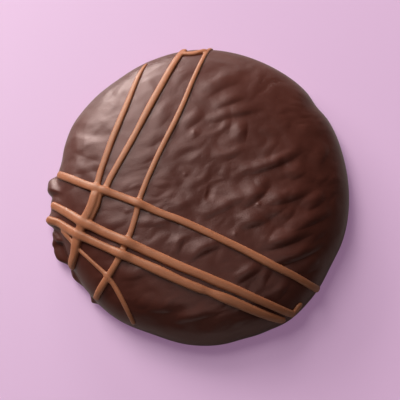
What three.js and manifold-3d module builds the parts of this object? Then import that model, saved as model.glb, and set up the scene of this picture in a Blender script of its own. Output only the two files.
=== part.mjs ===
// A round lebkuchen: gingerbread coated all over in dark chocolate, with milk chocolate drizzled
// across it in two crossing sets of strands that run over its edge. It is one piece, so one solid.
// Millimetres, +Z up. The origin is on the resting face, under the middle of the whole outline.
import * as THREE from "three";
import { mergeVertices } from "three/addons/utils/BufferGeometryUtils.js";
import Module from "manifold-3d";

// The round body
const RADIUS = 45; // side to side, at the widest line of the edge
const LENGTH_SHARE = 1.045; // front to back, against side to side
const HEIGHT = 18; // resting face to crown, without the drizzle
const WIDEST_AT = 4.2; // height of the widest line
const BASE_INSET = 2.6; // the resting face ends this far inside the widest line
const TOP_POWER = 3; // how far the low dome keeps up before its shoulder rolls down
const EDGE_POWER = 6; // how closely dents and lumps keep to the edge
const BODY_PLACE = new THREE.Vector3(1.49, -0.33, 0); // the lumps on the left push the round body right

// Dents and swellings that run the whole height of the edge: azimuth and half span in degrees,
// and how far they stand out
const EDGE_WAVES = [
  { at: 27, span: 9, out: 0.3 },
  { at: 39, span: 4.5, out: -0.6 },
  { at: 48, span: 13, out: 0.4 },
  { at: 113, span: 15, out: -0.5 },
  { at: 126, span: 9, out: -0.5 },
  { at: 151, span: 8, out: 0.55 },
  { at: 166, span: 4, out: -0.4 },
  { at: 251, span: 12, out: -1.35 },
  { at: 272, span: 14, out: -0.6 },
  { at: 286, span: 7, out: -0.7 },
  { at: 296, span: 5, out: -0.35 },
  { at: 305, span: 7, out: 0.35 },
  { at: 331, span: 9, out: -0.7 },
];

// Thick runs of coating on the left, where it sagged and set: also a level and how tall they are
const COAT_LUMPS = [
  { at: 175.4, span: 2.8, out: 2, level: 1.5, tall: 3.6 },
  { at: 178.4, span: 2.3, out: 2, level: 1.5, tall: 5.2 },
  { at: 183.4, span: 1.8, out: 0.8, level: 3, tall: 4.6 },
  { at: 189, span: 5.5, out: 2, level: 2.5, tall: 4.6 },
  { at: 189.4, span: 1.8, out: 1.4, level: 3.5, tall: 4.6 },
  { at: 200.4, span: 5.5, out: 3.2, level: 1.5, tall: 3.4 },
  { at: 212.4, span: 4, out: 1.5, level: 1.2, tall: 2.4 },
  { at: 224.2, span: 1.7, out: 1.3, level: 1.2, tall: 2.2 },
];

// Flow ripples in the coat's top
const RIPPLE = {
  height: 0.16,
  pitch: 6.5,
  heading: 26, // degrees from +X that their crests run
  bend: 1.3, // how far their crests wander, in radians of phase
  bendPitch: 21,
  edgeAt: 34, // they fade out between these two distances from the middle
  goneAt: 43,
};

// Drizzle strands, lowest first. Each station is x, y and width, with the coat's skin laid flat:
// its distance from the middle is measured along the skin, down over the shoulder.
const STRANDS = {
  steepLeft: [
    [-17.6, 42.4, 0.9],
    [-19.3, 37.1, 1.6],
    [-22.4, 27, 1.9],
    [-25.2, 19.8, 2.1],
    [-27.3, 14.7, 2.1],
    [-29.8, 8.1, 2.1],
    [-30.8, 5.3, 2.1],
    [-32, 0.7, 2.2],
    [-32.9, -3.3, 2.6],
    [-34.2, -5.9, 2.3],
    [-35.2, -7.8, 2.5],
    [-36.9, -12, 3.1],
    [-38.9, -16.7, 3.2],
    [-40, -20, 2.9],
    [-41.9, -22.8, 2.9],
    [-43.4, -24.8, 2.4],
  ],
  steepMiddle: [
    [-5.4, 47.5, 2],
    [-6.2, 45.4, 2.1],
    [-7.8, 41.3, 2.2],
    [-12, 31.8, 2.3],
    [-16.1, 23.8, 2.3],
    [-19.4, 17.4, 2.1],
    [-22.7, 11.6, 2.1],
    [-25.3, 7.2, 2.1],
    [-27.8, 2.8, 2.1],
    [-29.5, -0.4, 2.5],
    [-31.7, -4.2, 2.3],
    [-32.7, -6.4, 2.4],
    [-34, -8.3, 2.5],
    [-35.3, -10.8, 2.6],
  ],
  steepRight: [
    [3.6, 48.2, 1.1],
    [2.4, 47.6, 1.4],
    [-0.5, 39.1, 1.5],
    [-3.1, 31.9, 1.6],
    [-5.3, 25.8, 1.7],
    [-7.7, 20.2, 1.8],
    [-10.3, 15, 1.8],
    [-13.2, 9.4, 1.8],
    [-15.7, 4.1, 1.8],
    [-17.1, 0.7, 1.8],
    [-18.9, -4.3, 1.9],
    [-19.8, -8.8, 1.9],
    [-21, -13.2, 1.9],
    [-22, -15.7, 2],
    [-24.8, -21.6, 2.1],
    [-27.2, -25.4, 2.1],
    [-30.2, -29.4, 2.3],
    [-32.1, -31.8, 2.2],
    [-34.1, -34.4, 2],
  ],
  shallowBack: [
    [-47, 6.6, 2.5],
    [-41.5, 4, 2.6],
    [-35.6, 1.1, 2.6],
    [-30.7, -0.8, 2.5],
    [-24.6, -3.2, 2.5],
    [-18.4, -5.8, 2.5],
    [-12.4, -8.4, 2.4],
    [-6.3, -10.5, 2.4],
    [-0.5, -13, 2.4],
    [5.4, -15.9, 2.4],
    [11.3, -18.8, 2.4],
    [17.5, -22, 2.6],
    [21.7, -24.1, 2.5],
    [26.7, -26.3, 2.3],
    [32.9, -29.4, 2.3],
    [37.7, -31.6, 2.3],
  ],
  shallowMiddle: [
    [-48.3, -3.2, 2.5],
    [-42.2, -6.9, 2.8],
    [-36.5, -10.3, 3],
    [-33.1, -11.9, 2.9],
    [-28.9, -14.1, 2.9],
    [-22, -17, 2.9],
    [-16.6, -19.4, 2.9],
    [-12.1, -21.3, 2.9],
    [-6.3, -23.8, 2.9],
    [-0.5, -26.1, 2.8],
    [5.2, -28.6, 2.9],
    [11, -31.1, 2.8],
    [15.4, -33.1, 2.6],
    [20, -35, 2.5],
    [24.1, -36.7, 2.4],
    [29, -38.8, 2.3],
  ],
  shallowFront: [
    [-48.1, -7.6, 2.5],
    [-44.1, -10.8, 2.6],
    [-37.9, -14, 2.7],
    [-30.4, -17.6, 2.5],
    [-23.6, -20.5, 2.8],
    [-18, -22.8, 2.8],
    [-12.1, -25.3, 3.1],
    [-6.3, -27.9, 2.8],
    [-1, -30, 2.8],
    [1.8, -31, 2.4],
    [5.8, -32.6, 3],
    [10, -34.4, 3],
    [14.1, -36.2, 2.8],
    [18.1, -37.9, 2.6],
    [22, -39.3, 2.4],
    [25.8, -40.5, 2.1],
  ],
  tail: [
    [-47.2, -10.2, 0.9],
    [-46.3, -12.4, 1.1],
    [-43.4, -14.3, 1.2],
    [-40.5, -16.2, 1.2],
    [-37.3, -19.2, 1.3],
    [-32.4, -23.3, 1.3],
    [-28.7, -26.5, 1.5],
    [-25.8, -30.4, 1.6],
    [-23.4, -35.3, 1.6],
    [-22.1, -39.5, 1.5],
    [-21.7, -42.6, 1.4],
  ],
  loop: [
    [28.5, -37.8, 1.7],
    [29.5, -36.2, 1.9],
    [31.1, -35.1, 1.7],
  ],
  backTurn: [
    [-6.4, 43.9, 1.5],
    [-3.6, 43.7, 1.9],
    [-1.2, 44.3, 1.9],
    [1.4, 45.4, 1.5],
  ],
};
const STRAND_TALL = 0.65; // a strand's height against its width
const STRAND_LIFT = 0.12; // its middle above the coat, against its width
const CROSSING_LIFT = 0.3; // how far it rises over a strand below, against its width
const STRAND_ROOT = 0.35; // how deep it is sunk in the coat, against its width
const TIP_LENGTH = 0.9; // its ends round off over this length
const TIP_RING = 0.4; // its end rings stand this share of that length from the tips

// How finely the faces are cut
const BODY_SEGMENTS = 108;
const BODY_RINGS = 22;
const STRAND_STEP = 3;
const STRAND_SIDES = 8;
const SECTION_SAMPLES = 2000;

const CHOCOLATE = new THREE.MeshStandardMaterial({
  color: new THREE.Color().setRGB(0.27, 0.17, 0.14, THREE.SRGBColorSpace),
  roughness: 0.4,
  metalness: 0,
});

const wasm = await Module();
wasm.setup();

// Places on the coat's section: down over the shoulder to the widest line, in to the edge of the
// resting face, and along that face to its middle
const CROWN = 0;
const WIDEST = 1;
const BASE_EDGE = 2;
const BASE_MIDDLE = 3;

// Distance from the axis and height at a place on the section.
function sectionPoint(t) {
  if (t <= WIDEST) {
    const turn = (t * Math.PI) / 2;
    const rise = (HEIGHT - WIDEST_AT) * Math.cos(turn);
    return [RADIUS * Math.sin(turn) ** (2 / TOP_POWER), WIDEST_AT + rise];
  }
  if (t <= BASE_EDGE) {
    const turn = ((t - WIDEST) * Math.PI) / 2;
    return [RADIUS - BASE_INSET * (1 - Math.cos(turn)), WIDEST_AT * (1 - Math.sin(turn))];
  }
  return [(RADIUS - BASE_INSET) * (BASE_MIDDLE - t), 0];
}

// The section's running length from the crown to the edge of the resting face, in equal steps of t.
function sectionLengths() {
  const lengths = [0];
  let before = sectionPoint(CROWN);
  for (let i = 1; i <= SECTION_SAMPLES; i++) {
    const here = sectionPoint((BASE_EDGE * i) / SECTION_SAMPLES);
    lengths.push(lengths[i - 1] + Math.hypot(here[0] - before[0], here[1] - before[1]));
    before = here;
  }
  return lengths;
}
const LENGTHS = sectionLengths();
const SKIN_REACH = LENGTHS[SECTION_SAMPLES];

// The place on the section that lies a given length along the skin from the crown.
function placeAtReach(reach) {
  const next = LENGTHS.findIndex((length) => length >= reach);
  if (next < 0) return BASE_EDGE;
  if (next === 0) return CROWN;
  const share = (reach - LENGTHS[next - 1]) / (LENGTHS[next] - LENGTHS[next - 1]);
  return (BASE_EDGE * (next - 1 + share)) / SECTION_SAMPLES;
}

// A bell curve, 1 at zero.
function bell(x) {
  return Math.exp(-x * x);
}

// A flatter curve with steeper flanks, 1 at zero.
function hump(x) {
  return Math.exp(-(x ** 6));
}

// How many degrees a direction lies from a feature, the short way round.
function degreesFrom(azimuth, at) {
  return THREE.MathUtils.euclideanModulo(THREE.MathUtils.radToDeg(azimuth) - at + 180, 360) - 180;
}

// How far the edge stands out from its ellipse at a direction and height.
function edgeOut(azimuth, z) {
  let out = 0;
  for (const wave of EDGE_WAVES) out += wave.out * bell(degreesFrom(azimuth, wave.at) / wave.span);
  for (const lump of COAT_LUMPS) {
    const around = bell(degreesFrom(azimuth, lump.at) / lump.span);
    out += lump.out * around * hump((z - lump.level) / lump.tall);
  }
  return out;
}

// Height of the flow ripples over a place on the top.
function rippleHeight(x, y) {
  const heading = THREE.MathUtils.degToRad(RIPPLE.heading);
  const along = x * Math.cos(heading) + y * Math.sin(heading);
  const across = y * Math.cos(heading) - x * Math.sin(heading);
  const wander = RIPPLE.bend * Math.sin((2 * Math.PI * (along + across)) / RIPPLE.bendPitch);
  const fade = 1 - THREE.MathUtils.smoothstep(Math.hypot(x, y), RIPPLE.edgeAt, RIPPLE.goneAt);
  return RIPPLE.height * fade * Math.sin((2 * Math.PI * across) / RIPPLE.pitch + wander);
}

// A point of the coat, by direction and place on the section.
function coatPoint(azimuth, t) {
  const [r, z] = sectionPoint(t);
  const stretch = Math.hypot(Math.cos(azimuth), Math.sin(azimuth) / LENGTH_SHARE);
  const across = r / stretch + edgeOut(azimuth, z) * (r / RADIUS) ** EDGE_POWER;
  const x = across * Math.cos(azimuth);
  const y = across * Math.sin(azimuth);
  return new THREE.Vector3(x, y, t < WIDEST ? z + rippleHeight(x, y) : z);
}

// The coat's outward direction there, from two short steps over it.
function coatNormal(azimuth, t) {
  const step = 0.01;
  const around = coatPoint(azimuth + step, t).sub(coatPoint(azimuth - step, t));
  const down = coatPoint(azimuth, t + step).sub(coatPoint(azimuth, Math.max(CROWN, t - step)));
  return down.cross(around).normalize();
}

// A closed geometry as a manifold-3d solid, with shared points merged and empty faces dropped.
function solidOf(geometry) {
  const bare = geometry.clone();
  bare.deleteAttribute("normal");
  bare.deleteAttribute("uv");
  const merged = mergeVertices(bare);
  const corners = merged.index.array;
  const faces = [];
  for (let i = 0; i < corners.length; i += 3) {
    const [a, b, c] = corners.slice(i, i + 3);
    if (a !== b && b !== c && c !== a) faces.push(a, b, c);
  }
  const vertProperties = merged.attributes.position.array;
  const triVerts = new Uint32Array(faces);
  return new wasm.Manifold(new wasm.Mesh({ numProp: 3, vertProperties, triVerts }));
}

// The coated body: a turned section with every point moved to the uneven coat.
function bodyGeometry() {
  const places = [BASE_MIDDLE];
  for (let i = BODY_RINGS; i >= 0; i--) places.push(placeAtReach((SKIN_REACH * i) / BODY_RINGS));
  const profile = places.map((t) => new THREE.Vector2(...sectionPoint(t)));
  const geometry = new THREE.LatheGeometry(profile, BODY_SEGMENTS);
  const position = geometry.attributes.position;
  for (let i = 0; i < position.count; i++) {
    const segment = Math.floor(i / places.length) % BODY_SEGMENTS;
    const azimuth = (2 * Math.PI * segment) / BODY_SEGMENTS;
    position.setXYZ(i, ...coatPoint(azimuth, places[i % places.length]));
  }
  return geometry;
}

// The middle line of a strand, step by step: its point on the coat, the outward direction and width.
function strandSteps(stations) {
  const corners = stations.map((station) => new THREE.Vector3(...station));
  const route = new THREE.CatmullRomCurve3(corners, false, "catmullrom", 0.5);
  const count = Math.ceil(route.getLength() / STRAND_STEP);
  return route.getSpacedPoints(count).map(({ x, y, z: width }) => {
    const azimuth = Math.atan2(y, x);
    const t = placeAtReach(Math.hypot(x, y));
    return { point: coatPoint(azimuth, t), normal: coatNormal(azimuth, t), width };
  });
}

// Lifts each step to the middle of the strand's height, and higher where it crosses one below.
function liftStrand(steps, below) {
  for (const step of steps) {
    let nearest = Infinity;
    for (const other of below) nearest = Math.min(nearest, other.distanceTo(step.point));
    step.lift = step.width * (STRAND_LIFT + CROSSING_LIFT * bell(nearest / step.width));
    step.middle = step.point.clone().addScaledVector(step.normal, step.lift);
  }
}

// How full a strand is at a distance from its nearer end.
function tipShare(distance) {
  const short = 1 - Math.min(1, distance / TIP_LENGTH);
  return Math.sqrt(1 - short * short);
}

// The tip of a strand, a little past its end step.
function strandTip(end, inner) {
  return end.middle.clone().lerp(inner.middle, (-TIP_RING * TIP_LENGTH) / STRAND_STEP);
}

// A point of a strand's skin, by step and angle around it. The steps past its ends are its tips.
function strandPoint(steps, i, angle) {
  const last = steps.length - 1;
  if (i < 0) return strandTip(steps[0], steps[1]);
  if (i > last) return strandTip(steps[last], steps[last - 1]);
  const { middle, normal, width, lift } = steps[i];
  const along = steps[Math.min(last, i + 1)].middle.clone().sub(steps[Math.max(0, i - 1)].middle);
  const side = along.cross(normal).normalize();
  const full = tipShare(STRAND_STEP * Math.min(i, last - i) + TIP_RING * TIP_LENGTH);
  const across = (width / 2) * Math.cos(angle);
  const tall = Math.sin(angle) > 0 ? (width / 2) * STRAND_TALL : lift + STRAND_ROOT * width;
  const up = tall * Math.sin(angle);
  return middle.clone().addScaledVector(side, full * across).addScaledVector(normal, full * up);
}

// A strand as a closed tube of oval rings: a ball's rows moved to its steps, and the poles to its tips.
function strandGeometry(steps) {
  const geometry = new THREE.SphereGeometry(1, STRAND_SIDES, steps.length + 1);
  const position = geometry.attributes.position;
  for (let i = 0; i < position.count; i++) {
    const row = Math.floor(i / (STRAND_SIDES + 1));
    const side = (i % (STRAND_SIDES + 1)) % STRAND_SIDES;
    position.setXYZ(i, ...strandPoint(steps, row - 1, (2 * Math.PI * side) / STRAND_SIDES));
  }
  return geometry;
}

// Joins the strands to the body, each resting on the coat and on the strands before it.
function lebkuchenGeometry() {
  let whole = solidOf(bodyGeometry());
  const below = [];
  for (const stations of Object.values(STRANDS)) {
    const steps = strandSteps(stations);
    liftStrand(steps, below);
    whole = whole.add(solidOf(strandGeometry(steps)));
    below.push(...steps.map((step) => step.point));
  }
  const { vertProperties, triVerts } = whole.getMesh();
  const geometry = new THREE.BufferGeometry();
  geometry.setAttribute("position", new THREE.BufferAttribute(vertProperties, 3));
  geometry.setIndex(new THREE.BufferAttribute(triVerts, 1));
  geometry.computeVertexNormals();
  return geometry;
}

const lebkuchen = new THREE.Mesh(lebkuchenGeometry(), CHOCOLATE);
lebkuchen.name = "lebkuchen";
lebkuchen.position.copy(BODY_PLACE);

const group = new THREE.Group();
group.add(lebkuchen);

export default group;
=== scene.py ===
"""A round lebkuchen, coated in dark chocolate and drizzled with milk chocolate.

Sizes in the classes are millimetres about the middle of the round body. Meshes are made in metres, in
the frame's own axes: +Z up, -Y towards the viewer, the resting face at zero.
"""

import logging
import math
from dataclasses import dataclass, field
from enum import Enum

import bpy
import numpy as np
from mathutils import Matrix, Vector


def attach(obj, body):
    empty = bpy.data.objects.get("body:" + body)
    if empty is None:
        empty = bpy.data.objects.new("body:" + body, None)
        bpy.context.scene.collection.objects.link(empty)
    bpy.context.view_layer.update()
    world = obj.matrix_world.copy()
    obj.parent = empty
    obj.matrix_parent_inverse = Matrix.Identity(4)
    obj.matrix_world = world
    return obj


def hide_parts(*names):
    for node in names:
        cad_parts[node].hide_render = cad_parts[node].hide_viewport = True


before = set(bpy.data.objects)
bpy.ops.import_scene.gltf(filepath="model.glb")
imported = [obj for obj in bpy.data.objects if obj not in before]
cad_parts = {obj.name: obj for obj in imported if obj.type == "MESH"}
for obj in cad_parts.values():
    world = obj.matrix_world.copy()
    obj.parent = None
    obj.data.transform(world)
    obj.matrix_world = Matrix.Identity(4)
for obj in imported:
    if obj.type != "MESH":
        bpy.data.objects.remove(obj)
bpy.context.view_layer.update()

LOG = logging.getLogger("lebkuchen")
MM = 0.001
NODE = "lebkuchen"
BODY = "root"
QUARTER_TURN = math.pi / 2
EIGHTH_TURN = math.pi / 4


class Slot(Enum):
    """Names of the two chocolates' material slots."""

    DARK = "dark_chocolate"
    MILK = "milk_chocolate"


def bell(x: np.ndarray) -> np.ndarray:
    """A bell curve, 1 at zero."""
    return np.exp(-x * x)


def hump(x: np.ndarray, power: float) -> np.ndarray:
    """A flatter curve with steeper flanks, 1 at zero."""
    return np.exp(-(np.abs(x) ** power))


def arch(x: np.ndarray) -> np.ndarray:
    """A round arch, 1 at zero and 0 from 1 outwards."""
    return np.clip(1.0 - x**2, 0.0, 1.0)


def ease(x: np.ndarray, low: float, high: float) -> np.ndarray:
    """A smooth step from 0 at low to 1 at high."""
    share = np.clip((x - low) / (high - low), 0.0, 1.0)
    return share * share * (3.0 - 2.0 * share)


def blend(share: np.ndarray) -> np.ndarray:
    """A smooth step from 0 to 1 that starts and ends without a bend."""
    return share**3 * (share * (6.0 * share - 15.0) + 10.0)


def degrees_from(azimuth: np.ndarray, at: float) -> np.ndarray:
    """How many degrees a direction lies from a feature, the short way round."""
    return (np.degrees(azimuth) - at + 180.0) % 360.0 - 180.0


@dataclass(frozen=True)
class SlowNoise:
    """Seeded gradient noise over a plane, about -1 to 1.

    Attributes:
        seed: the draw of its slopes.
        long: a cell's size along the first axis.
        wide: a cell's size along the second axis.
        start: the cell at zero, along both axes.
        cells: how many cells it has before it repeats.
        gain: what brings it to about -1 to 1.
    """

    seed: int
    long: float
    wide: float
    start: tuple[float, float]
    cells: int = 128
    gain: float = 1.5

    def at(self, x: np.ndarray, y: np.ndarray) -> np.ndarray:
        """The noise at places on the plane.

        Args:
            x: places along the first axis.
            y: places along the second axis.

        Returns:
            One value for each place.
        """
        angles = np.random.default_rng(self.seed).uniform(0.0, 2.0 * math.pi, (self.cells, self.cells))
        x, y = x / self.long + self.start[0], y / self.wide + self.start[1]
        column, row = np.floor(x).astype(int), np.floor(y).astype(int)
        across, up = x - column, y - row
        corners = []
        for dx, dy in ((0, 0), (1, 0), (0, 1), (1, 1)):
            angle = angles[(column + dx) % self.cells, (row + dy) % self.cells]
            corners.append(np.cos(angle) * (across - dx) + np.sin(angle) * (up - dy))
        low = corners[0] + blend(across) * (corners[1] - corners[0])
        high = corners[2] + blend(across) * (corners[3] - corners[2])
        return self.gain * (low + blend(up) * (high - low))


@dataclass(frozen=True)
class EdgeWave:
    """A dent or swelling that runs the whole height of the edge.

    Attributes:
        at: azimuth in degrees.
        span: half span in degrees.
        out: how far it stands out.
    """

    at: float
    span: float
    out: float

    def rise(self, azimuth: np.ndarray) -> np.ndarray:
        """How far the edge stands out for it, by direction in radians."""
        return self.out * bell(degrees_from(azimuth, self.at) / self.span)


@dataclass(frozen=True)
class CoatLump:
    """A thick run of coating that sagged and set on the edge.

    Attributes:
        at: azimuth in degrees.
        span: half span in degrees.
        out: how far it stands out.
        level: height of its middle.
        tall: half its height.
        slant: how much taller it gets for each degree around the edge.
        crisp: how suddenly its top ends.
        blunt: how squarely it stands out, 2 for a soft swelling.
        slant_reach: how far its slant goes on, in half spans.
    """

    at: float
    span: float
    out: float
    level: float
    tall: float
    slant: float = 0.0
    crisp: float = 6.0
    blunt: float = 2.0
    slant_reach: float = 2.0

    def rise(self, azimuth: np.ndarray, z: np.ndarray) -> np.ndarray:
        """How far the edge stands out for it.

        Args:
            azimuth: directions from the middle, in radians.
            z: heights.

        Returns:
            One distance for each place.
        """
        off = degrees_from(azimuth, self.at)
        limit = self.slant_reach * self.span
        tall = self.tall + self.slant * np.clip(off, -limit, limit)
        return self.out * hump(off / self.span, self.blunt) * hump((z - self.level) / tall, self.crisp)


@dataclass(frozen=True)
class Fold:
    """A soft fold that the flowing coat set in.

    Attributes:
        x: middle of its chord, with the skin laid flat.
        y: middle of its chord, with the skin laid flat.
        long: half its length.
        heading: degrees from +X that it runs.
        sag: how far its middle hangs below its chord.
        height: how high its crest stands, below zero for a groove.
        gentle: half width of its side towards the light.
        steep: half width of its shaded side.
        taper: how finely its ends run out.
    """

    x: float
    y: float
    long: float
    heading: float
    sag: float
    height: float
    gentle: float
    steep: float
    taper: float = 1.5

    def rise(self, x: np.ndarray, y: np.ndarray) -> np.ndarray:
        """Height that the fold adds at places on the laid-out skin.

        Args:
            x: places along +X.
            y: places along +Y.

        Returns:
            One height for each place.
        """
        turn = math.radians(self.heading)
        along = ((x - self.x) * math.cos(turn) + (y - self.y) * math.sin(turn)) / self.long
        across = (y - self.y) * math.cos(turn) - (x - self.x) * math.sin(turn)
        bow = arch(along)
        off = across + self.sag * bow
        if self.height > 0.0:
            shape = np.where(off > 0.0, bell(off / self.gentle), arch(off / self.steep))
        else:
            shape = arch(off / np.where(off > 0.0, self.steep, self.gentle)) ** 2
        return self.height * bow**self.taper * shape


@dataclass(frozen=True)
class Pimple:
    """A small bubble that set in the coat, or the pit that one left.

    Attributes:
        x: its middle, with the skin laid flat.
        y: its middle, with the skin laid flat.
        size: half its width.
        height: how high it stands, below zero for a pit.
    """

    x: float
    y: float
    size: float
    height: float

    def rise(self, x: np.ndarray, y: np.ndarray) -> np.ndarray:
        """Height that the pimple adds at places on the laid-out skin."""
        return self.height * bell(np.hypot(x - self.x, y - self.y) / self.size)


FOLDS = (
    Fold(5.0, 31.5, 8.0, 30.0, -0.9, 0.48, 2.0, 3.0),
    Fold(8.0, 26.6, 6.0, 23.0, 0.1, 0.45, 1.9, 1.6),
    Fold(11.4, 23.4, 7.4, 14.0, 0.3, 0.45, 1.9, 1.6),
    Fold(4.6, 21.2, 4.0, 18.0, 0.2, 0.37, 1.3, 1.7),
    Fold(15.0, 31.0, 5.5, 50.0, 0.4, 0.22, 1.7, 2.1),
    Fold(12.0, 38.5, 6.2, 35.0, 0.9, 0.11, 1.5, 2.3),
    Fold(25.0, 19.5, 3.1, 75.0, -0.4, 0.14, 1.3, 1.9),
    Fold(-3.5, 20.5, 4.4, 35.0, 0.2, 0.26, 1.5, 2.3),
    Fold(-2.5, 16.0, 2.5, 30.0, 0.3, 0.15, 1.1, 1.5),
    Fold(10.6, 16.7, 3.8, 85.0, 0.3, 0.59, 2.2, 2.3),
    Fold(6.5, 18.5, 3.1, 75.0, 0.0, 0.18, 1.2, 1.7),
    Fold(8.0, 13.5, 3.8, 30.0, 0.2, 0.18, 1.3, 1.9),
    Fold(7.5, 10.5, 5.6, 30.0, 0.7, 0.24, 1.4, 1.9),
    Fold(20.0, 12.0, 5.0, 25.0, 0.1, 0.26, 1.8, 2.4),
    Fold(-5.5, 12.5, 5.6, 25.0, -0.2, 0.15, 1.3, 2.8),
    Fold(-1.0, 8.5, 4.4, 35.0, -0.2, 0.21, 1.2, 3.2),
    Fold(0.5, 3.0, 3.1, 40.0, 0.2, 0.09, 1.1, 1.7),
    Fold(-11.0, -2.0, 4.4, 30.0, 1.4, 0.11, 1.3, 1.5),
    Fold(-6.5, -5.5, 4.4, 25.0, 0.4, 0.17, 1.2, 1.7),
    Fold(2.0, -2.0, 3.1, 75.0, -0.1, -0.25, 2.1, 1.0),
    Fold(5.0, 1.0, 3.1, 15.0, 0.0, -0.13, 1.5, 1.0),
    Fold(5.0, -6.0, 8.1, 25.0, 0.4, 0.36, 1.7, 1.9),
    Fold(7.0, 4.5, 3.8, 85.0, -0.5, 0.12, 1.2, 1.7),
    Fold(14.5, -1.5, 7.0, 42.0, 1.4, 0.69, 3.0, 2.4),
    Fold(21.0, 9.5, 11.2, 25.0, 1.8, 0.77, 1.9, 2.1),
    Fold(28.0, 5.5, 3.8, 30.0, 0.5, 0.43, 1.9, 2.4),
    Fold(25.5, -1.0, 9.0, 20.0, 1.7, 0.74, 2.8, 2.3),
    Fold(33.5, -3.0, 5.0, 35.0, 0.6, 0.67, 2.3, 2.4),
    Fold(21.0, -6.0, 4.8, 35.0, 0.9, 0.50, 2.7, 2.3),
    Fold(15.0, -9.5, 5.8, 18.0, 0.9, 0.65, 3.4, 2.3),
    Fold(24.0, -8.0, 4.4, 45.0, 0.8, 0.36, 1.8, 2.1),
    Fold(32.0, -9.0, 8.8, 25.0, 0.7, 0.87, 2.8, 2.1),
    Fold(35.5, 12.0, 4.4, 60.0, 0.4, 0.31, 2.0, 2.9),
    Fold(18.5, -14.0, 4.0, 60.0, -0.4, 0.31, 2.7, 2.3),
    Fold(25.0, -14.5, 10.6, 20.0, 1.2, 1.12, 2.7, 2.1),
    Fold(27.5, -19.0, 11.2, 20.0, 1.3, 1.14, 2.8, 2.1),
    Fold(31.0, -22.5, 6.9, 20.0, 1.1, 0.36, 2.3, 2.6),
    Fold(34.0, -13.5, 5.6, 35.0, 0.2, 0.36, 2.0, 2.4),
    Fold(-15.0, -11.0, 5.6, 0.0, -0.2, 0.27, 1.2, 1.7),
    Fold(-7.0, -17.5, 3.8, 70.0, -0.3, 0.20, 1.2, 1.5),
    Fold(0.5, -19.0, 6.9, 25.0, -0.8, 0.74, 2.0, 2.1),
    Fold(13.0, -25.5, 5.6, 30.0, -0.1, 0.67, 1.8, 1.9),
    Fold(18.0, -27.0, 3.1, 60.0, -0.1, 0.25, 1.2, 1.5),
    Fold(22.5, -30.5, 5.0, 50.0, 0.5, 0.36, 1.7, 1.7),
    Fold(-26.5, -10.0, 5.0, 20.0, 1.0, 0.22, 1.4, 1.9),
    Fold(-6.0, 35.0, 4.4, 40.0, -0.2, 0.13, 1.8, 2.3),
    Fold(-13.0, 22.0, 5.0, 50.0, 0.6, 0.22, 1.9, 2.7),
    Fold(-15.0, 15.0, 4.4, 30.0, 0.5, 0.18, 1.5, 2.1),
    Fold(-17.0, 10.0, 4.4, 30.0, 0.6, 0.20, 1.5, 2.1),
    Fold(-22.0, 1.0, 5.0, 15.0, 0.5, 0.13, 1.4, 1.9),
    Fold(-34.6, 18.2, 8.6, -20.0, 0.4, -0.28, 2.4, 3.6),
    Fold(-33.0, 13.6, 8.8, -25.0, 1.1, 0.21, 2.1, 3.4),
    Fold(-35.2, 7.3, 6.9, 2.0, 0.2, 0.14, 1.8, 2.0),
    Fold(-21.0, -25.0, 6.2, 10.0, 0.9, 0.34, 2.0, 2.1),
    Fold(-12.5, -33.0, 9.4, 0.0, 2.1, 0.49, 2.6, 2.7),
    Fold(-1.5, -37.0, 9.4, 15.0, 0.5, 0.40, 1.5, 1.9),
    Fold(13.0, -39.0, 6.2, 15.0, 0.7, 0.16, 1.5, 2.3),
)
PIMPLES = (
    Pimple(16.7, -5.7, 0.6, 0.22),
    Pimple(-2.5, 16.0, 0.6, 0.16),
    Pimple(-15.1, -8.2, 0.6, 0.16),
    Pimple(9.4, -14.5, 0.55, 0.14),
    Pimple(-22.6, -7.6, 0.6, 0.12),
    Pimple(-5.2, 3.4, 0.5, 0.12),
    Pimple(3.0, -27.0, 0.5, 0.1),
    Pimple(24.4, 7.2, 1.4, -0.32),
    Pimple(-26.8, 26.2, 1.7, 0.18),
    Pimple(-30.1, 20.8, 1.5, 0.12),
    Pimple(-25.2, 31.0, 1.6, 0.16),
    Pimple(-16.5, 33.2, 1.5, 0.14),
    Pimple(-14.8, 30.0, 1.4, 0.14),
)
MEANDER = SlowNoise(31, 12.0, 12.0, (50.0, 50.0))
WAVER = SlowNoise(37, 4.0, 4.0, (30.0, 30.0))
BROAD_RIPPLES = SlowNoise(17, 9.0, 5.0, (40.0, 40.0))
NARROW_RIPPLES = SlowNoise(19, 5.5, 3.6, (40.0, 40.0))
SWELLS = SlowNoise(23, 21.0, 21.0, (9.0, 0.0))
DIMPLES = SlowNoise(29, 3.2, 3.2, (60.0, 60.0))


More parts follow.
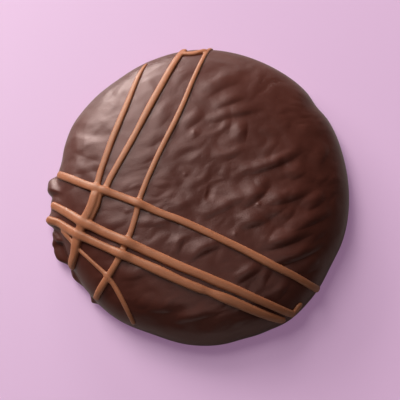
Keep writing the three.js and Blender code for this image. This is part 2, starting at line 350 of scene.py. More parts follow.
@dataclass
class TopRelief:
    """The folds, flow ripples and pimples in the coat's top, over the laid-out skin.

    Towards the upper left the ripples give way to soft dimples. How far right a place counts there is its
    x less a share of its y.

    Attributes:
        folds: the listed folds.
        pimples: the listed pimples.
        ripple: height of the ripples between the folds.
        heading: degrees from +X that the ripples run.
        meander: how far the ripples wander from their heading.
        waver: how far they waver on the way.
        trough: how round the narrow ripples' troughs are.
        swell: height of the slow unevenness.
        dimple: height of the soft dimples on the upper left.
        lean: share of y that counts in how far right a place is.
        rippled: how far right the ripples start to grow, and where they are full.
        left_share: share of the ripples that the upper left keeps.
        dimpled: how far right the dimples start to fade, and where they are gone.
        calm: reach where the ripples start to fade, and where they are gone.
        bare: place and half width of an area that shows fewer ripples.
        bare_share: share of the ripples that goes there.
        level: reach where all relief starts to fade, and where it is gone.
    """

    folds: tuple[Fold, ...] = FOLDS
    pimples: tuple[Pimple, ...] = PIMPLES
    ripple: float = 0.18
    heading: float = 24.0
    meander: float = 1.4
    waver: float = 0.4
    trough: float = 0.12
    swell: float = 0.12
    dimple: float = 0.1
    lean: float = 0.5
    rippled: tuple[float, float] = (-32.0, -8.0)
    left_share: float = 0.4
    dimpled: tuple[float, float] = (-38.0, -20.0)
    calm: tuple[float, float] = (41.0, 49.0)
    bare: tuple[float, float, float] = (9.0, 27.0, 11.0)
    bare_share: float = 0.5
    level: tuple[float, float] = (46.0, 50.0)

    def _ripples(self, x: np.ndarray, y: np.ndarray) -> np.ndarray:
        """Wavering ripples that run with the flow.

        Args:
            x: places along +X.
            y: places along +Y.

        Returns:
            One value for each place, about -1 to 2.
        """
        turn = math.radians(self.heading)
        along = x * math.cos(turn) + y * math.sin(turn)
        across = y * math.cos(turn) - x * math.sin(turn)
        across = across + self.meander * MEANDER.at(x, y)
        across = across + self.waver * WAVER.at(x, y)
        return BROAD_RIPPLES.at(along, across) + np.hypot(NARROW_RIPPLES.at(along, across), self.trough)

    def _strength(self, x: np.ndarray, y: np.ndarray) -> np.ndarray:
        """Share of the ripples that shows at places on the laid-out skin.

        Args:
            x: places along +X.
            y: places along +Y.

        Returns:
            One share for each place.
        """
        bare_x, bare_y, bare_size = self.bare
        share = 1.0 - ease(np.hypot(x, y), *self.calm)
        share = share * (self.left_share + (1.0 - self.left_share) * ease(x - self.lean * y, *self.rippled))
        return share * (1.0 - self.bare_share * bell(np.hypot(x - bare_x, y - bare_y) / bare_size))

    def height(self, x: np.ndarray, y: np.ndarray) -> np.ndarray:
        """Height of the relief at places on the laid-out skin.

        Args:
            x: places along +X.
            y: places along +Y.

        Returns:
            The height to add along the coat's outward direction.
        """
        height = self.ripple * self._ripples(x, y) * self._strength(x, y) + self.swell * SWELLS.at(x, y)
        quiet = 1.0 - ease(x - self.lean * y, *self.dimpled)
        height = height + self.dimple * quiet * DIMPLES.at(x, y)
        for mark in (*self.folds, *self.pimples):
            height = height + mark.rise(x, y)
        return height * (1.0 - ease(np.hypot(x, y), *self.level))


@dataclass
class CoatForm:
    """The coat's outer form: a turned section, drawn long, with dents and lumps around its edge.

    A place on the section is 0 at the crown, 1 at the widest line and 2 at the edge of the resting face.

    Attributes:
        radius: side to side, at the widest line.
        length_share: front to back, against side to side.
        height: resting face to crown.
        widest_at: height of the widest line.
        base_inset: how far the resting face ends inside the widest line.
        top_power: how flat the top stays before its shoulder.
        edge_power: how closely dents and lumps keep to the edge.
        place: the body's middle in the frame.
        waves: dents and swellings around the edge.
        lumps: thick runs of coating.
        samples: places at which the section's length is measured.
        step: how far apart the places are that tell a direction.
        crown_gap: the nearest that such a place comes to the crown.
    """

    radius: float = 45.0
    length_share: float = 1.045
    height: float = 18.0
    widest_at: float = 4.2
    base_inset: float = 2.6
    top_power: float = 3.0
    edge_power: float = 6.0
    place: tuple[float, float] = (1.49, -0.33)
    waves: tuple[EdgeWave, ...] = (
        EdgeWave(27.0, 9.0, 0.3),
        EdgeWave(39.0, 4.5, -0.6),
        EdgeWave(48.0, 13.0, 0.4),
        EdgeWave(113.0, 15.0, -0.5),
        EdgeWave(126.0, 9.0, -0.5),
        EdgeWave(151.0, 8.0, 0.55),
        EdgeWave(166.0, 4.0, -0.4),
        EdgeWave(251.0, 12.0, -1.35),
        EdgeWave(272.0, 14.0, -0.6),
        EdgeWave(286.0, 7.0, -0.7),
        EdgeWave(296.0, 5.0, -0.35),
        EdgeWave(305.0, 7.0, 0.35),
        EdgeWave(331.0, 9.0, -0.7),
    )
    lumps: tuple[CoatLump, ...] = (
        CoatLump(176.1, 3.6, 2.6, 1.5, 5.6, 0.5, 13.0, 4.0),
        CoatLump(182.2, 3.0, 1.0, 1.5, 6.6, 0.45, 12.0),
        CoatLump(189.0, 5.5, 2.0, 2.5, 4.6, 0.0, 4.0),
        CoatLump(189.4, 2.0, 1.4, 3.5, 4.8, 0.0, 3.0),
        CoatLump(196.0, 2.8, 1.7, 1.5, 4.1, 0.4, 12.0, 4.0),
        CoatLump(201.9, 4.6, 3.5, 1.2, 2.9, 0.0, 8.0, 3.0),
        CoatLump(212.4, 4.0, 1.5, 1.2, 2.4),
        CoatLump(224.2, 1.7, 1.3, 1.2, 2.2),
    )
    samples: int = 4000
    step: float = 0.01
    crown_gap: float = 1e-4

    def __post_init__(self) -> None:
        """Measures the section's length, so that places can be given along the skin."""
        self._places = np.linspace(0.0, 2.0, self.samples)
        r, z = self.section(self._places)
        steps = np.hypot(np.diff(r), np.diff(z))
        self._lengths = np.concatenate([[0.0], np.cumsum(steps)])
        self.reach = float(self._lengths[-1])

    def section(self, t: np.ndarray) -> tuple[np.ndarray, np.ndarray]:
        """The turned section.

        Args:
            t: places on it.

        Returns:
            Their distances from the axis and their heights.
        """
        upper = np.clip(t, 0.0, 1.0) * QUARTER_TURN
        lower = np.clip(t - 1.0, 0.0, 1.0) * QUARTER_TURN
        top_r = self.radius * np.sin(upper) ** (2.0 / self.top_power)
        top_z = self.widest_at + (self.height - self.widest_at) * np.cos(upper)
        foot_r = self.radius - self.base_inset * (1.0 - np.cos(lower))
        foot_z = self.widest_at * (1.0 - np.sin(lower))
        return np.where(t <= 1.0, top_r, foot_r), np.where(t <= 1.0, top_z, foot_z)

    def place_at(self, reach: np.ndarray) -> np.ndarray:
        """The place on the section that lies a given length along the skin from the crown."""
        return np.interp(reach, self._lengths, self._places)

    def edge_out(self, azimuth: np.ndarray, z: np.ndarray) -> np.ndarray:
        """How far the edge stands out from its ellipse.

        Args:
            azimuth: directions from the middle, in radians.
            z: heights.

        Returns:
            One distance for each place.
        """
        out = np.zeros(np.broadcast(azimuth, z).shape)
        for wave in self.waves:
            out = out + wave.rise(azimuth)
        for lump in self.lumps:
            out = out + lump.rise(azimuth, z)
        return out

    def point(self, azimuth: np.ndarray, t: np.ndarray) -> np.ndarray:
        """Points of the coat, by direction and place on the section.

        Args:
            azimuth: directions from the middle, in radians.
            t: places on the section.

        Returns:
            One row of x, y and z for each place.
        """
        r, z = self.section(t)
        stretch = np.hypot(np.cos(azimuth), np.sin(azimuth) / self.length_share)
        across = r / stretch + self.edge_out(azimuth, z) * (r / self.radius) ** self.edge_power
        level = np.broadcast_to(z, across.shape)
        return np.stack([across * np.cos(azimuth), across * np.sin(azimuth), level], axis=-1)

    def normal(self, azimuth: np.ndarray, t: np.ndarray) -> np.ndarray:
        """The coat's outward directions, from two short steps over it.

        Args:
            azimuth: directions from the middle, in radians.
            t: places on the section.

        Returns:
            One row of unit length for each place.
        """
        around = self.point(azimuth + self.step, t) - self.point(azimuth - self.step, t)
        before, after = np.maximum(t - self.step, self.crown_gap), np.minimum(t + self.step, 2.0)
        down = self.point(azimuth, after) - self.point(azimuth, before)
        direction = np.cross(down, around)
        return direction / np.linalg.norm(direction, axis=-1, keepdims=True)

    def to_frame(self, points: np.ndarray) -> np.ndarray:
        """Points about the body's middle, moved to the frame, in metres."""
        return (points + np.array([*self.place, 0.0])) * MM


def mesh_object(name: str, points: np.ndarray, faces: list[list[int]]) -> bpy.types.Object:
    """A smooth-shaded object from points in metres and faces.

    Args:
        name: the piece's name.
        points: one row for each point.
        faces: one row of point numbers for each face.

    Returns:
        The new object, linked to the scene.
    """
    mesh = bpy.data.meshes.new(name)
    mesh.from_pydata(points.tolist(), [], [list(map(int, face)) for face in faces])
    mesh.validate()
    mesh.polygons.foreach_set("use_smooth", [True] * len(mesh.polygons))
    piece = bpy.data.objects.new(name, mesh)
    bpy.context.scene.collection.objects.link(piece)
    return piece


class Carries(Enum):
    """What a node group's socket carries."""

    COLOUR = "NodeSocketColor"
    VALUE = "NodeSocketFloat"


@dataclass(frozen=True)
class Socket:
    """A named input or output of a node group.

    Attributes:
        name: the socket's name.
        carries: what it carries.
        is_input: whether it is an input.
    """

    name: str
    carries: Carries
    is_input: bool = False


def node_group(name: str, sockets: list[Socket]) -> bpy.types.NodeTree:
    """An empty shader node group with named sockets.

    Args:
        name: the group's name.
        sockets: its inputs and outputs, in order.

    Returns:
        The group, with its input and output nodes placed.
    """
    group = bpy.data.node_groups.new(name, "ShaderNodeTree")
    for socket in sockets:
        way = "INPUT" if socket.is_input else "OUTPUT"
        group.interface.new_socket(socket.name, in_out=way, socket_type=socket.carries.value)
    group.nodes.new("NodeGroupInput").name = "In"
    group.nodes.new("NodeGroupOutput").name = "Out"
    return group


class ChocolateGrain:
    """The shared look of set chocolate: slow patches of tone and a fine satin grain.

    Attributes:
        NAME: the node group's name.
        PATCHES: where the noise turns from the deep tone to the pale one.
        GRAIN_SHARE: how much of the roughness follows the grain, and not the tone.
    """

    NAME = "set chocolate grain"
    PATCHES = (0.3, 0.7)
    GRAIN_SHARE = 0.4

    @classmethod
    def group(cls) -> bpy.types.NodeTree:
        """The node group, built once and shared by both chocolates."""
        found = bpy.data.node_groups.get(cls.NAME)
        return found if found else cls._build()

    @classmethod
    def _build(cls) -> bpy.types.NodeTree:
        """Makes the group's nodes and links.

        Returns:
            The group.
        """
        colour, value = Carries.COLOUR, Carries.VALUE
        group = node_group(
            cls.NAME,
            [
                Socket("Deep", colour, True),
                Socket("Pale", colour, True),
                Socket("Smooth", value, True),
                Socket("Dull", value, True),
                Socket("Mottle Scale", value, True),
                Socket("Grain Scale", value, True),
                Socket("Color", colour),
                Socket("Roughness", value),
                Socket("Height", value),
            ],
        )
        nodes, links = group.nodes, group.links
        given, out = nodes["In"], nodes["Out"]
        place = nodes.new("ShaderNodeTexCoord")
        mottle = nodes.new("ShaderNodeTexNoise")
        mottle.inputs["Detail"].default_value = 4.0
        mottle.inputs["Roughness"].default_value = 0.6
        mottle.inputs["Distortion"].default_value = 0.8
        grain = nodes.new("ShaderNodeTexNoise")
        grain.inputs["Detail"].default_value = 2.0
        grain.inputs["Roughness"].default_value = 0.55
        for texture, scale in ((mottle, "Mottle Scale"), (grain, "Grain Scale")):
            links.new(place.outputs["Object"], texture.inputs["Vector"])
            links.new(given.outputs[scale], texture.inputs["Scale"])
        tone = nodes.new("ShaderNodeMapRange")
        tone.interpolation_type = "SMOOTHSTEP"
        tone.inputs["From Min"].default_value, tone.inputs["From Max"].default_value = cls.PATCHES
        links.new(mottle.outputs["Fac"], tone.inputs["Value"])
        paint = nodes.new("ShaderNodeMix")
        paint.data_type = "RGBA"
        links.new(tone.outputs["Result"], paint.inputs["Factor"])
        links.new(given.outputs["Deep"], paint.inputs["A"])
        links.new(given.outputs["Pale"], paint.inputs["B"])
        links.new(paint.outputs["Result"], out.inputs["Color"])
        mixed = nodes.new("ShaderNodeMath")
        mixed.operation = "MULTIPLY_ADD"
        mixed.inputs[1].default_value = cls.GRAIN_SHARE
        links.new(grain.outputs["Fac"], mixed.inputs[0])
        part = nodes.new("ShaderNodeMath")
        part.operation = "MULTIPLY"
        part.inputs[1].default_value = 1.0 - cls.GRAIN_SHARE
        links.new(tone.outputs["Result"], part.inputs[0])
        links.new(part.outputs["Value"], mixed.inputs[2])
        sheen = nodes.new("ShaderNodeMapRange")
        links.new(mixed.outputs["Value"], sheen.inputs["Value"])
        links.new(given.outputs["Smooth"], sheen.inputs["To Min"])
        links.new(given.outputs["Dull"], sheen.inputs["To Max"])
        links.new(sheen.outputs["Result"], out.inputs["Roughness"])
        links.new(grain.outputs["Fac"], out.inputs["Height"])
        return group


@dataclass(frozen=True)
class ChocolateFinish:
    """A set chocolate.

    Attributes:
        name: the material's name.
        deep: its darker tone, linear.
        pale: its paler tone, linear.
        smooth: roughness where it set glossiest.
        dull: roughness where it set dullest.
        mottle_scale: how many tone patches fit a metre.
        grain_scale: how many grains fit a metre.
        grain_height: how far the grain stands, in metres.
        sheen: tint of its reflections, linear.
        subsurface: share of light that passes under the skin.
        depth: how far that light travels, in metres.
        under_skin: how far its red, green and blue travel, against the depth.
        ior: the chocolate's index of refraction.
    """

    name: str
    deep: tuple[float, float, float]
    pale: tuple[float, float, float]
    smooth: float
    dull: float
    mottle_scale: float
    grain_scale: float
    grain_height: float
    sheen: tuple[float, float, float]
    subsurface: float
    depth: float
    under_skin: tuple[float, float, float] = (1.0, 0.45, 0.25)
    ior: float = 1.5

    def material(self) -> bpy.types.Material:
        """The finish as a node material.

        Returns:
            The new material.
        """
        material = bpy.data.materials.new(self.name)
        material.use_nodes = True
        nodes, links = material.node_tree.nodes, material.node_tree.links
        shader = nodes["Principled BSDF"]
        shader.inputs["IOR"].default_value = self.ior
        shader.inputs["Specular Tint"].default_value = (*self.sheen, 1.0)
        shader.inputs["Subsurface Weight"].default_value = self.subsurface
        shader.inputs["Subsurface Scale"].default_value = self.depth
        shader.inputs["Subsurface Radius"].default_value = self.under_skin
        grain = nodes.new("ShaderNodeGroup")
        grain.node_tree = ChocolateGrain.group()
        grain.inputs["Deep"].default_value = (*self.deep, 1.0)
        grain.inputs["Pale"].default_value = (*self.pale, 1.0)
        grain.inputs["Smooth"].default_value = self.smooth
        grain.inputs["Dull"].default_value = self.dull
        grain.inputs["Mottle Scale"].default_value = self.mottle_scale
        grain.inputs["Grain Scale"].default_value = self.grain_scale
        bump = nodes.new("ShaderNodeBump")
        bump.inputs["Distance"].default_value = self.grain_height
        links.new(grain.outputs["Color"], shader.inputs["Base Color"])
        links.new(grain.outputs["Roughness"], shader.inputs["Roughness"])
        links.new(grain.outputs["Height"], bump.inputs["Height"])
        links.new(bump.outputs["Normal"], shader.inputs["Normal"])
        return material


DARK_FINISH = ChocolateFinish(
    name="dark chocolate coat",
    deep=(0.063, 0.016, 0.0106),
    pale=(0.075, 0.0195, 0.013),
    smooth=0.32,
    dull=0.42,
    mottle_scale=70.0,
    grain_scale=2200.0,
    grain_height=0.00003,
    sheen=(0.94, 0.715, 0.67),
    subsurface=0.0,
    depth=0.0005,
)
MILK_FINISH = ChocolateFinish(
    name="milk chocolate drizzle",
    deep=(0.328, 0.116, 0.055),
    pale=(0.376, 0.137, 0.066),
    smooth=0.36,
    dull=0.46,
    mottle_scale=160.0,
    grain_scale=2600.0,
    grain_height=0.00003,
    sheen=(0.62, 0.66, 0.58),
    subsurface=0.12,
    depth=0.0006,
)


@dataclass
class ChocolateCoat:
    """The dark coat over the whole biscuit, with its flat resting face.

    Attributes:
        form: the coat's outer form.
        relief: what stands in its top.
        cells: mesh cells across the laid-out skin.
        base_rings: rings of faces across the resting face.
        finish: its chocolate.
    """

    form: CoatForm
    relief: TopRelief = field(default_factory=TopRelief)
    cells: int = 298
    base_rings: int = 5
    finish: ChocolateFinish = DARK_FINISH

    def _disc(self) -> tuple[np.ndarray, np.ndarray]:
        """A square grid drawn out to an even disc.

        Returns:
            Each point's azimuth and share of the reach.
        """
        line = np.linspace(-1.0, 1.0, self.cells + 1)
        u, v = np.meshgrid(line, line, indexing="ij")
        wide = np.abs(u) >= np.abs(v)
        share = np.where(wide, np.abs(u), np.abs(v))
        safe_u = np.where(u == 0.0, 1.0, u)
        safe_v = np.where(v == 0.0, 1.0, v)
        in_wide = EIGHTH_TURN * v / safe_u + np.where(u < 0.0, math.pi, 0.0)
        in_tall = QUARTER_TURN - EIGHTH_TURN * u / safe_v + np.where(v < 0.0, math.pi, 0.0)
        return np.where(wide, in_wide, in_tall), share

    def _skin(self) -> np.ndarray:
        """Points of the coat from the crown to the edge of the resting face.

        Returns:
            A square grid of points.
        """
        azimuth, share = self._disc()
        reach = share * self.form.reach
        t = self.form.place_at(reach)
        off_crown = np.maximum(t, 2.0 * self.form.crown_gap)
        height = self.relief.height(reach * np.cos(azimuth), reach * np.sin(azimuth))
        return self.form.point(azimuth, t) + height[..., None] * self.form.normal(azimuth, off_crown)

    def build(self) -> bpy.types.Object:
        """Makes the coat's mesh.

        Returns:
            The coat, in the frame.
        """
        n = self.cells
        skin = self._skin().reshape(-1, 3)
        number = np.arange((n + 1) ** 2).reshape(n + 1, n + 1)
        quads = np.stack([number[:-1, :-1], number[1:, :-1], number[1:, 1:], number[:-1, 1:]], axis=-1)
        faces = quads.reshape(-1, 4).tolist()
        edge = np.concatenate([number[:-1, 0], number[-1, :-1], number[:0:-1, -1], number[0, :0:-1]])
        points, outer, count = [skin], edge, len(skin)
        for ring in range(1, self.base_rings):
            share = 1.0 - ring / self.base_rings
            points.append(skin[edge] * np.array([share, share, 0.0]))
            inner = count + np.arange(len(outer))
            faces.extend(map(list, zip(outer, inner, np.roll(inner, -1), np.roll(outer, -1))))
            outer, count = inner, count + len(inner)
        points.append(np.zeros((1, 3)))
        faces.extend([a, count, b] for a, b in zip(outer, np.roll(outer, -1)))
        piece = mesh_object("chocolate_coat", self.form.to_frame(np.concatenate(points)), faces)
        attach(piece, BODY)
        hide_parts(NODE)
        return piece

    def dress(self, piece: bpy.types.Object) -> None:
        """Gives the coat its chocolate."""
        piece.data.materials.append(self.finish.material())


@dataclass(frozen=True)
class Strand:
    """One strand of drizzle.

    Attributes:
        name: which strand it is.
        stations: x, y and width along it, with the coat's skin laid flat.
        bends: points of the curve between two stations.
        fewest: fewest places along it.
    """

    name: str
    stations: tuple[tuple[float, float, float], ...]
    bends: int = 40
    fewest: int = 4

    def route(self, step: float) -> np.ndarray:
        """Places along the strand on one smooth curve.

        Args:
            step: distance between them.

        Returns:
            One row of x, y and width for each place.
        """
        knots = np.array(self.stations)
        before, after = 2.0 * knots[0] - knots[1], 2.0 * knots[-1] - knots[-2]
        knots = np.vstack([before, knots, after])
        share = np.linspace(0.0, 1.0, self.bends, endpoint=False)[:, None]
        runs = []
        for a, b, c, d in zip(knots, knots[1:], knots[2:], knots[3:]):
            bend = 2.0 * a - 5.0 * b + 4.0 * c - d
            rest = 3.0 * (b - c) + d - a
            runs.append(b + 0.5 * share * (c - a + share * (bend + share * rest)))
        line = np.vstack([*runs, knots[-2]])
        length = np.concatenate([[0.0], np.cumsum(np.linalg.norm(np.diff(line, axis=0), axis=1))])
        stops = np.linspace(0.0, length[-1], max(self.fewest, int(length[-1] / step)))
        return np.stack([np.interp(stops, length, line[:, k]) for k in range(3)], axis=-1)


STRANDS = (
    Strand(
        "steep middle",
        (
            (-5.4, 47.5, 2.0), (-6.2, 45.4, 2.1), (-7.8, 41.3, 2.2), (-12.0, 31.8, 2.3),
            (-16.1, 23.8, 2.3), (-19.4, 17.4, 2.1), (-22.7, 11.6, 2.1), (-25.3, 7.2, 2.1),
            (-27.8, 2.8, 2.1), (-29.3, -0.3, 2.2), (-31.4, -2.4, 2.7), (-31.9, -4.1, 2.8),
            (-32.4, -5.8, 2.8), (-33.5, -8.1, 2.7), (-34.3, -10.2, 2.4),
        ),
    ),
    Strand(
        "steep left",
        (
            (-17.6, 42.4, 0.9), (-19.3, 37.1, 1.6), (-22.4, 27.0, 1.9), (-25.2, 19.8, 2.1),
            (-27.3, 14.7, 2.1), (-29.8, 8.1, 2.1), (-30.8, 5.3, 2.1), (-32.0, 0.7, 2.2),
            (-32.4, -2.0, 2.7), (-32.9, -3.7, 2.8), (-33.4, -5.4, 2.8), (-34.5, -7.7, 2.8),
            (-36.9, -12.0, 3.1), (-38.9, -16.7, 3.2), (-40.0, -20.0, 2.9), (-41.9, -22.8, 2.9),
            (-43.4, -24.8, 2.4),
        ),
    ),
    Strand(
        "steep right",
        (
            (3.6, 48.2, 1.1), (2.4, 47.6, 1.4), (-0.5, 39.1, 1.5), (-3.1, 31.9, 1.6),
            (-5.3, 25.8, 1.7), (-7.7, 20.2, 1.8), (-10.3, 15.0, 1.8), (-13.2, 9.4, 1.8),
            (-15.7, 4.1, 1.8), (-17.1, 0.7, 1.8), (-18.9, -4.3, 1.9), (-19.8, -8.8, 1.9),
            (-21.0, -13.2, 1.9), (-22.0, -15.7, 2.0), (-24.8, -21.6, 2.1), (-27.2, -25.4, 2.1),
            (-30.2, -29.4, 2.3), (-32.1, -31.8, 2.2), (-34.1, -34.4, 2.0),
        ),
    ),
    Strand(
        "shallow back",
        (
            (-47.0, 6.6, 2.5), (-41.5, 4.0, 2.6), (-35.6, 1.1, 2.6), (-30.7, -0.8, 2.5),
            (-24.6, -3.2, 2.5), (-18.4, -5.8, 2.5), (-12.4, -8.4, 2.4), (-6.3, -10.5, 2.4),
            (-0.5, -13.0, 2.4), (5.4, -15.9, 2.4), (11.3, -18.8, 2.4), (17.5, -22.0, 2.6),
            (21.7, -24.1, 2.5), (26.7, -26.3, 2.3), (32.9, -29.4, 2.3), (37.7, -31.6, 2.3),
        ),
    ),
    Strand(
        "shallow middle",
        (
            (-48.4, -3.1, 2.5), (-45.4, -5.1, 2.6), (-42.2, -6.9, 2.8), (-36.5, -10.3, 3.0),
            (-33.1, -11.9, 2.9), (-28.9, -14.1, 2.9), (-22.0, -17.0, 2.9), (-16.6, -19.4, 2.9),
            (-12.1, -21.3, 2.9), (-6.3, -23.8, 2.9), (-0.5, -26.1, 2.8), (5.2, -28.6, 2.9),
            (11.0, -31.1, 2.8), (15.4, -33.1, 2.6), (20.0, -35.0, 2.5), (24.1, -36.7, 2.4),
            (29.0, -38.8, 2.3),
        ),
    ),
    Strand(
        "shallow front",
        (
            (-48.6, -7.4, 2.5), (-46.6, -8.9, 2.5), (-44.1, -10.7, 2.6), (-37.9, -14.0, 2.7),
            (-30.4, -17.6, 2.5), (-23.6, -20.5, 2.8), (-18.0, -22.8, 2.8), (-12.1, -25.3, 3.1),
            (-6.3, -27.9, 2.8), (-1.0, -30.0, 2.8), (1.8, -31.0, 2.4), (5.8, -32.6, 3.0),
            (10.0, -34.4, 3.0), (14.1, -36.2, 2.8), (18.1, -37.9, 2.6), (22.0, -39.3, 2.4),
            (25.8, -40.5, 2.1),
        ),
    ),
    Strand(
        "tail",
        (
            (-44.8, -11.8, 1.6), (-42.5, -14.1, 1.7), (-40.6, -16.1, 1.4), (-37.3, -19.2, 1.3),
            (-32.4, -23.3, 1.3), (-28.7, -26.5, 1.5), (-25.8, -30.4, 1.6), (-23.4, -35.3, 1.6),
            (-22.1, -39.5, 1.5), (-21.7, -42.6, 1.4),
        ),
    ),
    Strand("loop", ((28.5, -37.8, 1.7), (29.5, -36.2, 1.9), (31.1, -35.1, 1.7))),
    Strand("back turn", ((-6.4, 43.9, 1.5), (-3.6, 43.7, 1.9), (-1.2, 44.3, 1.9), (1.4, 45.4, 1.5))),
)


@dataclass
class MilkDrizzle:
    """The milk chocolate strands, run together where they cross.

    Attributes:
        form: the coat that they lie on.
        strands: the strands, lowest first.
        tall: a strand's height against its width.
        fullness: how square its section is, 2 for an oval.
        lift: its middle above the coat, against its width.
        crossing_lift: how far it rises over a strand below, against its width.
        root: how deep it is sunk in the coat, against its width.
        tip: length over which its ends round off, against its width.
        tip_start: where its first ring counts along that length.
        step: distance between its rings.
        sides: points around a ring.
        voxel: size of the cells that run the strands together.
        smoothing: passes that round the joins.
        softness: how much each pass rounds them.
        finish: its chocolate.
    """

    form: CoatForm
    strands: tuple[Strand, ...] = STRANDS
    tall: float = 0.62
    fullness: float = 2.6
    lift: float = 0.12
    crossing_lift: float = 0.26
    root: float = 0.35
    tip: float = 0.5
    tip_start: float = 0.02
    step: float = 0.4
    sides: int = 20
    voxel: float = 0.25
    smoothing: int = 8
    softness: float = 0.5
    finish: ChocolateFinish = MILK_FINISH

    def _middle(self, route: np.ndarray, below: list[np.ndarray]) -> tuple[np.ndarray, ...]:
        """Lifts a route on the laid-out skin to the middle line of its strand.

        Args:
            route: x, y and width along it.
            below: points of the strands that it may cross.

        Returns:
            The points on the coat, the outward directions and the lifts.
        """
        azimuth = np.arctan2(route[:, 1], route[:, 0])
        t = self.form.place_at(np.hypot(route[:, 0], route[:, 1]))
        ground, normal = self.form.point(azimuth, t), self.form.normal(azimuth, t)
        near = np.full(len(route), np.inf)
        for other in below:
            gap = np.linalg.norm(ground[:, None, :] - other[None, :, :], axis=-1)
            near = np.minimum(near, gap.min(axis=1))
        width = route[:, 2]
        return ground, normal, width * (self.lift + self.crossing_lift * bell(near / width))

    def _tube(
        self, width: np.ndarray, ground: np.ndarray, normal: np.ndarray, lift: np.ndarray
    ) -> np.ndarray:
        """Rings of a strand's skin, with round tips.

        Args:
            width: its width along it.
            ground: its points on the coat.
            normal: the outward directions there.
            lift: how high its middle stands.

        Returns:
            Points by ring and side.
        """
        middle = ground + normal * lift[:, None]
        along = np.gradient(middle, axis=0)
        side = np.cross(along, normal)
        side = side / np.linalg.norm(side, axis=1, keepdims=True)
        length = np.concatenate([[0.0], np.cumsum(np.linalg.norm(np.diff(middle, axis=0), axis=1))])
        from_end = np.minimum(length, length[-1] - length) / (self.tip * width)
        full = np.sqrt(arch(1.0 - np.clip(from_end, self.tip_start, 1.0)))
        angle = np.linspace(0.0, 2.0 * math.pi, self.sides, endpoint=False)
        above, below = 0.5 * self.tall * width, lift + self.root * width
        rise = np.where(np.sin(angle) > 0.0, above[:, None], below[:, None])
        power = 2.0 / self.fullness
        across = (full * 0.5 * width)[:, None] * np.sign(np.cos(angle)) * np.abs(np.cos(angle)) ** power
        up = full[:, None] * rise * np.sign(np.sin(angle)) * np.abs(np.sin(angle)) ** power
        return middle[:, None] + across[..., None] * side[:, None] + up[..., None] * normal[:, None]

    def _raw(self) -> bpy.types.Object:
        """All strands as closed tubes in one mesh, before they run together.

        Returns:
            The drizzle's object, in the frame.
        """
        points, faces, below, count = [], [], [], 0
        for strand in self.strands:
            route = strand.route(self.step)
            ground, normal, lift = self._middle(route, below)
            rings = self._tube(route[:, 2], ground, normal, lift)
            below.append(ground)
            number = count + np.arange(rings.shape[0] * self.sides).reshape(-1, self.sides)
            turned = np.roll(number, -1, axis=1)
            quads = np.stack([number[:-1], number[1:], turned[1:], turned[:-1]], axis=-1)
            faces.extend(quads.reshape(-1, 4).tolist())
            faces.append(number[0].tolist())
            faces.append(number[-1][::-1].tolist())
            points.append(rings.reshape(-1, 3))
            count += rings.shape[0] * self.sides
        return mesh_object("milk_drizzle", self.form.to_frame(np.concatenate(points)), faces)

    def build(self) -> bpy.types.Object:
        """Makes the drizzle's mesh.

        Returns:
            The drizzle, in the frame.
        """
        piece = self._raw()
        remesh = piece.modifiers.new("run together", "REMESH")
        remesh.mode = "VOXEL"
        remesh.voxel_size = self.voxel * MM
        remesh.use_smooth_shade = True
        smooth = piece.modifiers.new("round the joins", "SMOOTH")
        smooth.factor = self.softness
        smooth.iterations = self.smoothing
        graph = bpy.context.evaluated_depsgraph_get()
        made = bpy.data.meshes.new_from_object(piece.evaluated_get(graph))
        piece.modifiers.clear()
        piece.data = made
        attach(piece, BODY)
        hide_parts(NODE)
        return piece

    def dress(self, piece: bpy.types.Object) -> None:
        """Gives the drizzle its chocolate."""
        piece.data.materials.append(self.finish.material())


class Shows(Enum):
    """What a light shows in."""

    ALL = "tone and sheen"
    TONE = "tone alone"
    SHEEN = "sheen alone"


@dataclass(frozen=True)
class SoftLight:
    """A light panel that faces the biscuit.

    Attributes:
        name: which light it is.
        azimuth: its direction from +X, in degrees.
        elevation: its angle above the table, in degrees.
        wide: its width, in metres.
        tall: its height, in metres.
        power: its power, in watts.
        shows: what it shows in.
        away: its distance, in metres.
        colour: its colour, linear.
    """

    name: str
    azimuth: float
    elevation: float
    wide: float
    tall: float
    power: float
    shows: Shows = Shows.ALL
    away: float = 1.1
    colour: tuple[float, float, float] = (1.0, 0.98, 0.97)

    def build(self) -> None:
        """Sets the light in the scene."""
        lamp = bpy.data.lights.new(self.name, "AREA")
        lamp.shape = "RECTANGLE"
        lamp.size, lamp.size_y = self.wide, self.tall
        lamp.energy = self.power
        lamp.color = self.colour
        holder = bpy.data.objects.new(self.name, lamp)
        a, e = math.radians(self.azimuth), math.radians(self.elevation)
        towards = Vector((math.cos(a) * math.cos(e), math.sin(a) * math.cos(e), math.sin(e)))
        holder.location = towards * self.away
        holder.rotation_euler = towards.to_track_quat("Z", "Y").to_euler()
        holder.visible_diffuse = self.shows is not Shows.SHEEN
        holder.visible_glossy = self.shows is not Shows.TONE
        bpy.context.scene.collection.objects.link(holder)


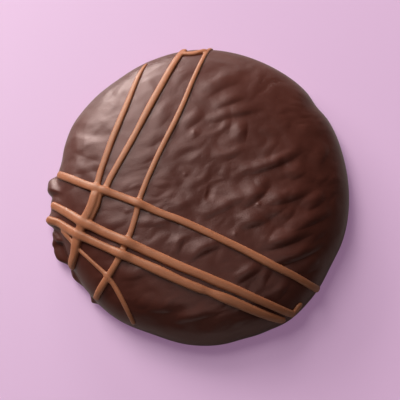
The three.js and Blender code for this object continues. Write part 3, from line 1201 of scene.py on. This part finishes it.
@dataclass
class Studio:
    """A pale floor, soft lights and the camera.

    Attributes:
        floor_half: half the floor's width, in metres.
        floor_level: the floor's height, just clear of the resting face, in metres.
        floor_colour: the floor's colour as seen, linear.
        painted_floor_glow: an even glow that the camera alone sees, painted light that keeps the floor's
            shadows pale, linear.
        bounce_colour: the floor's colour in the light that it gives back, linear.
        floor_roughness: how dull the floor is.
        lights: the lights.
        air_colour: colour of the even surround, linear.
        air_strength: its brightness.
        elevation: the camera's angle above the table, in degrees.
        lens: its focal length, in millimetres.
        sensor: its sensor's width, in millimetres.
        distance: from the camera to what it looks at, in metres.
        look_at: what it looks at, in metres.
    """

    floor_half: float = 1.5
    floor_level: float = -0.0001
    floor_colour: tuple[float, float, float] = (0.555, 0.385, 0.517)
    painted_floor_glow: tuple[float, float, float] = (0.192, 0.1, 0.184)
    bounce_colour: tuple[float, float, float] = (0.62, 0.53, 0.52)
    floor_roughness: float = 0.35
    lights: tuple[SoftLight, ...] = (
        SoftLight("low panel", 115.0, 7.0, 0.5, 0.2, 8.2, Shows.SHEEN),
        SoftLight("middle panel", 135.0, 22.0, 0.65, 0.25, 7.8),
        SoftLight("high panel", 120.0, 38.0, 0.5, 0.35, 6.2),
        SoftLight("soft box", 130.0, 60.0, 0.5, 0.45, 4.1),
        SoftLight("back panel", 102.0, 10.0, 0.4, 0.2, 6.0, Shows.TONE),
        SoftLight("back glint", 84.0, 10.0, 0.4, 0.2, 0.9, Shows.SHEEN),
        SoftLight("front fill", 300.0, 68.0, 0.6, 0.5, 0.45),
        SoftLight("front glint", 265.0, 70.0, 0.7, 0.5, 0.6, Shows.SHEEN),
        SoftLight("low front fill", 275.0, 5.0, 1.0, 0.2, 0.6),
    )
    air_colour: tuple[float, float, float] = (0.92, 0.96, 1.0)
    air_strength: float = 0.012
    elevation: float = 76.0
    lens: float = 200.0
    sensor: float = 36.0
    distance: float = 0.68
    look_at: tuple[float, float, float] = (0.00074, -0.00183, 0.006)

    def floor(self) -> None:
        """A plain pale table, with an even glow for the camera alone: painted light that keeps its shadows
        pale.
        """
        h, z = self.floor_half, self.floor_level
        corners = np.array([[-h, -h, z], [h, -h, z], [h, h, z], [-h, h, z]])
        floor = mesh_object("floor", corners, [[0, 1, 2, 3]])
        material = bpy.data.materials.new("pale table")
        material.use_nodes = True
        nodes, links = material.node_tree.nodes, material.node_tree.links
        shader = nodes["Principled BSDF"]
        shader.inputs["Roughness"].default_value = self.floor_roughness
        path = nodes.new("ShaderNodeLightPath")
        paint = nodes.new("ShaderNodeMix")
        paint.data_type = "RGBA"
        paint.inputs["A"].default_value = (*self.bounce_colour, 1.0)
        paint.inputs["B"].default_value = (*self.floor_colour, 1.0)
        links.new(path.outputs["Is Camera Ray"], paint.inputs["Factor"])
        links.new(paint.outputs["Result"], shader.inputs["Base Color"])
        # painted light: an even glow that only camera rays see, so the floor's shadows stay paler than the
        # lamps leave them
        shader.inputs["Emission Color"].default_value = (*self.painted_floor_glow, 1.0)
        links.new(path.outputs["Is Camera Ray"], shader.inputs["Emission Strength"])
        floor.data.materials.append(material)

    def air(self) -> None:
        """An even pale surround."""
        world = bpy.data.worlds.new("studio air")
        world.use_nodes = True
        sky = world.node_tree.nodes["Background"]
        sky.inputs["Color"].default_value = (*self.air_colour, 1.0)
        sky.inputs["Strength"].default_value = self.air_strength
        bpy.context.scene.world = world

    def camera(self) -> None:
        """The camera, above and in front of the biscuit."""
        lens = bpy.data.cameras.new("camera")
        lens.lens = self.lens
        lens.sensor_width = self.sensor
        holder = bpy.data.objects.new("camera", lens)
        e = math.radians(self.elevation)
        back = Vector((0.0, -math.cos(e), math.sin(e)))
        holder.location = Vector(self.look_at) + back * self.distance
        holder.rotation_euler = (math.radians(90.0 - self.elevation), 0.0, 0.0)
        bpy.context.scene.collection.objects.link(holder)
        bpy.context.scene.camera = holder

    def build(self) -> None:
        """Sets the whole studio."""
        self.camera()
        self.floor()
        for light in self.lights:
            light.build()
        self.air()
        bpy.context.scene.view_settings.view_transform = "Standard"


def main() -> None:
    """Builds and dresses every piece, and sets the studio."""
    logging.basicConfig(level=logging.INFO, format="%(name)s: %(message)s")
    form = CoatForm()
    for part in (ChocolateCoat(form), MilkDrizzle(form)):
        piece = part.build()
        part.dress(piece)
        LOG.info("%s: %d faces", piece.name, len(piece.data.polygons))
    Studio().build()


if __name__ == "__main__":
    main()
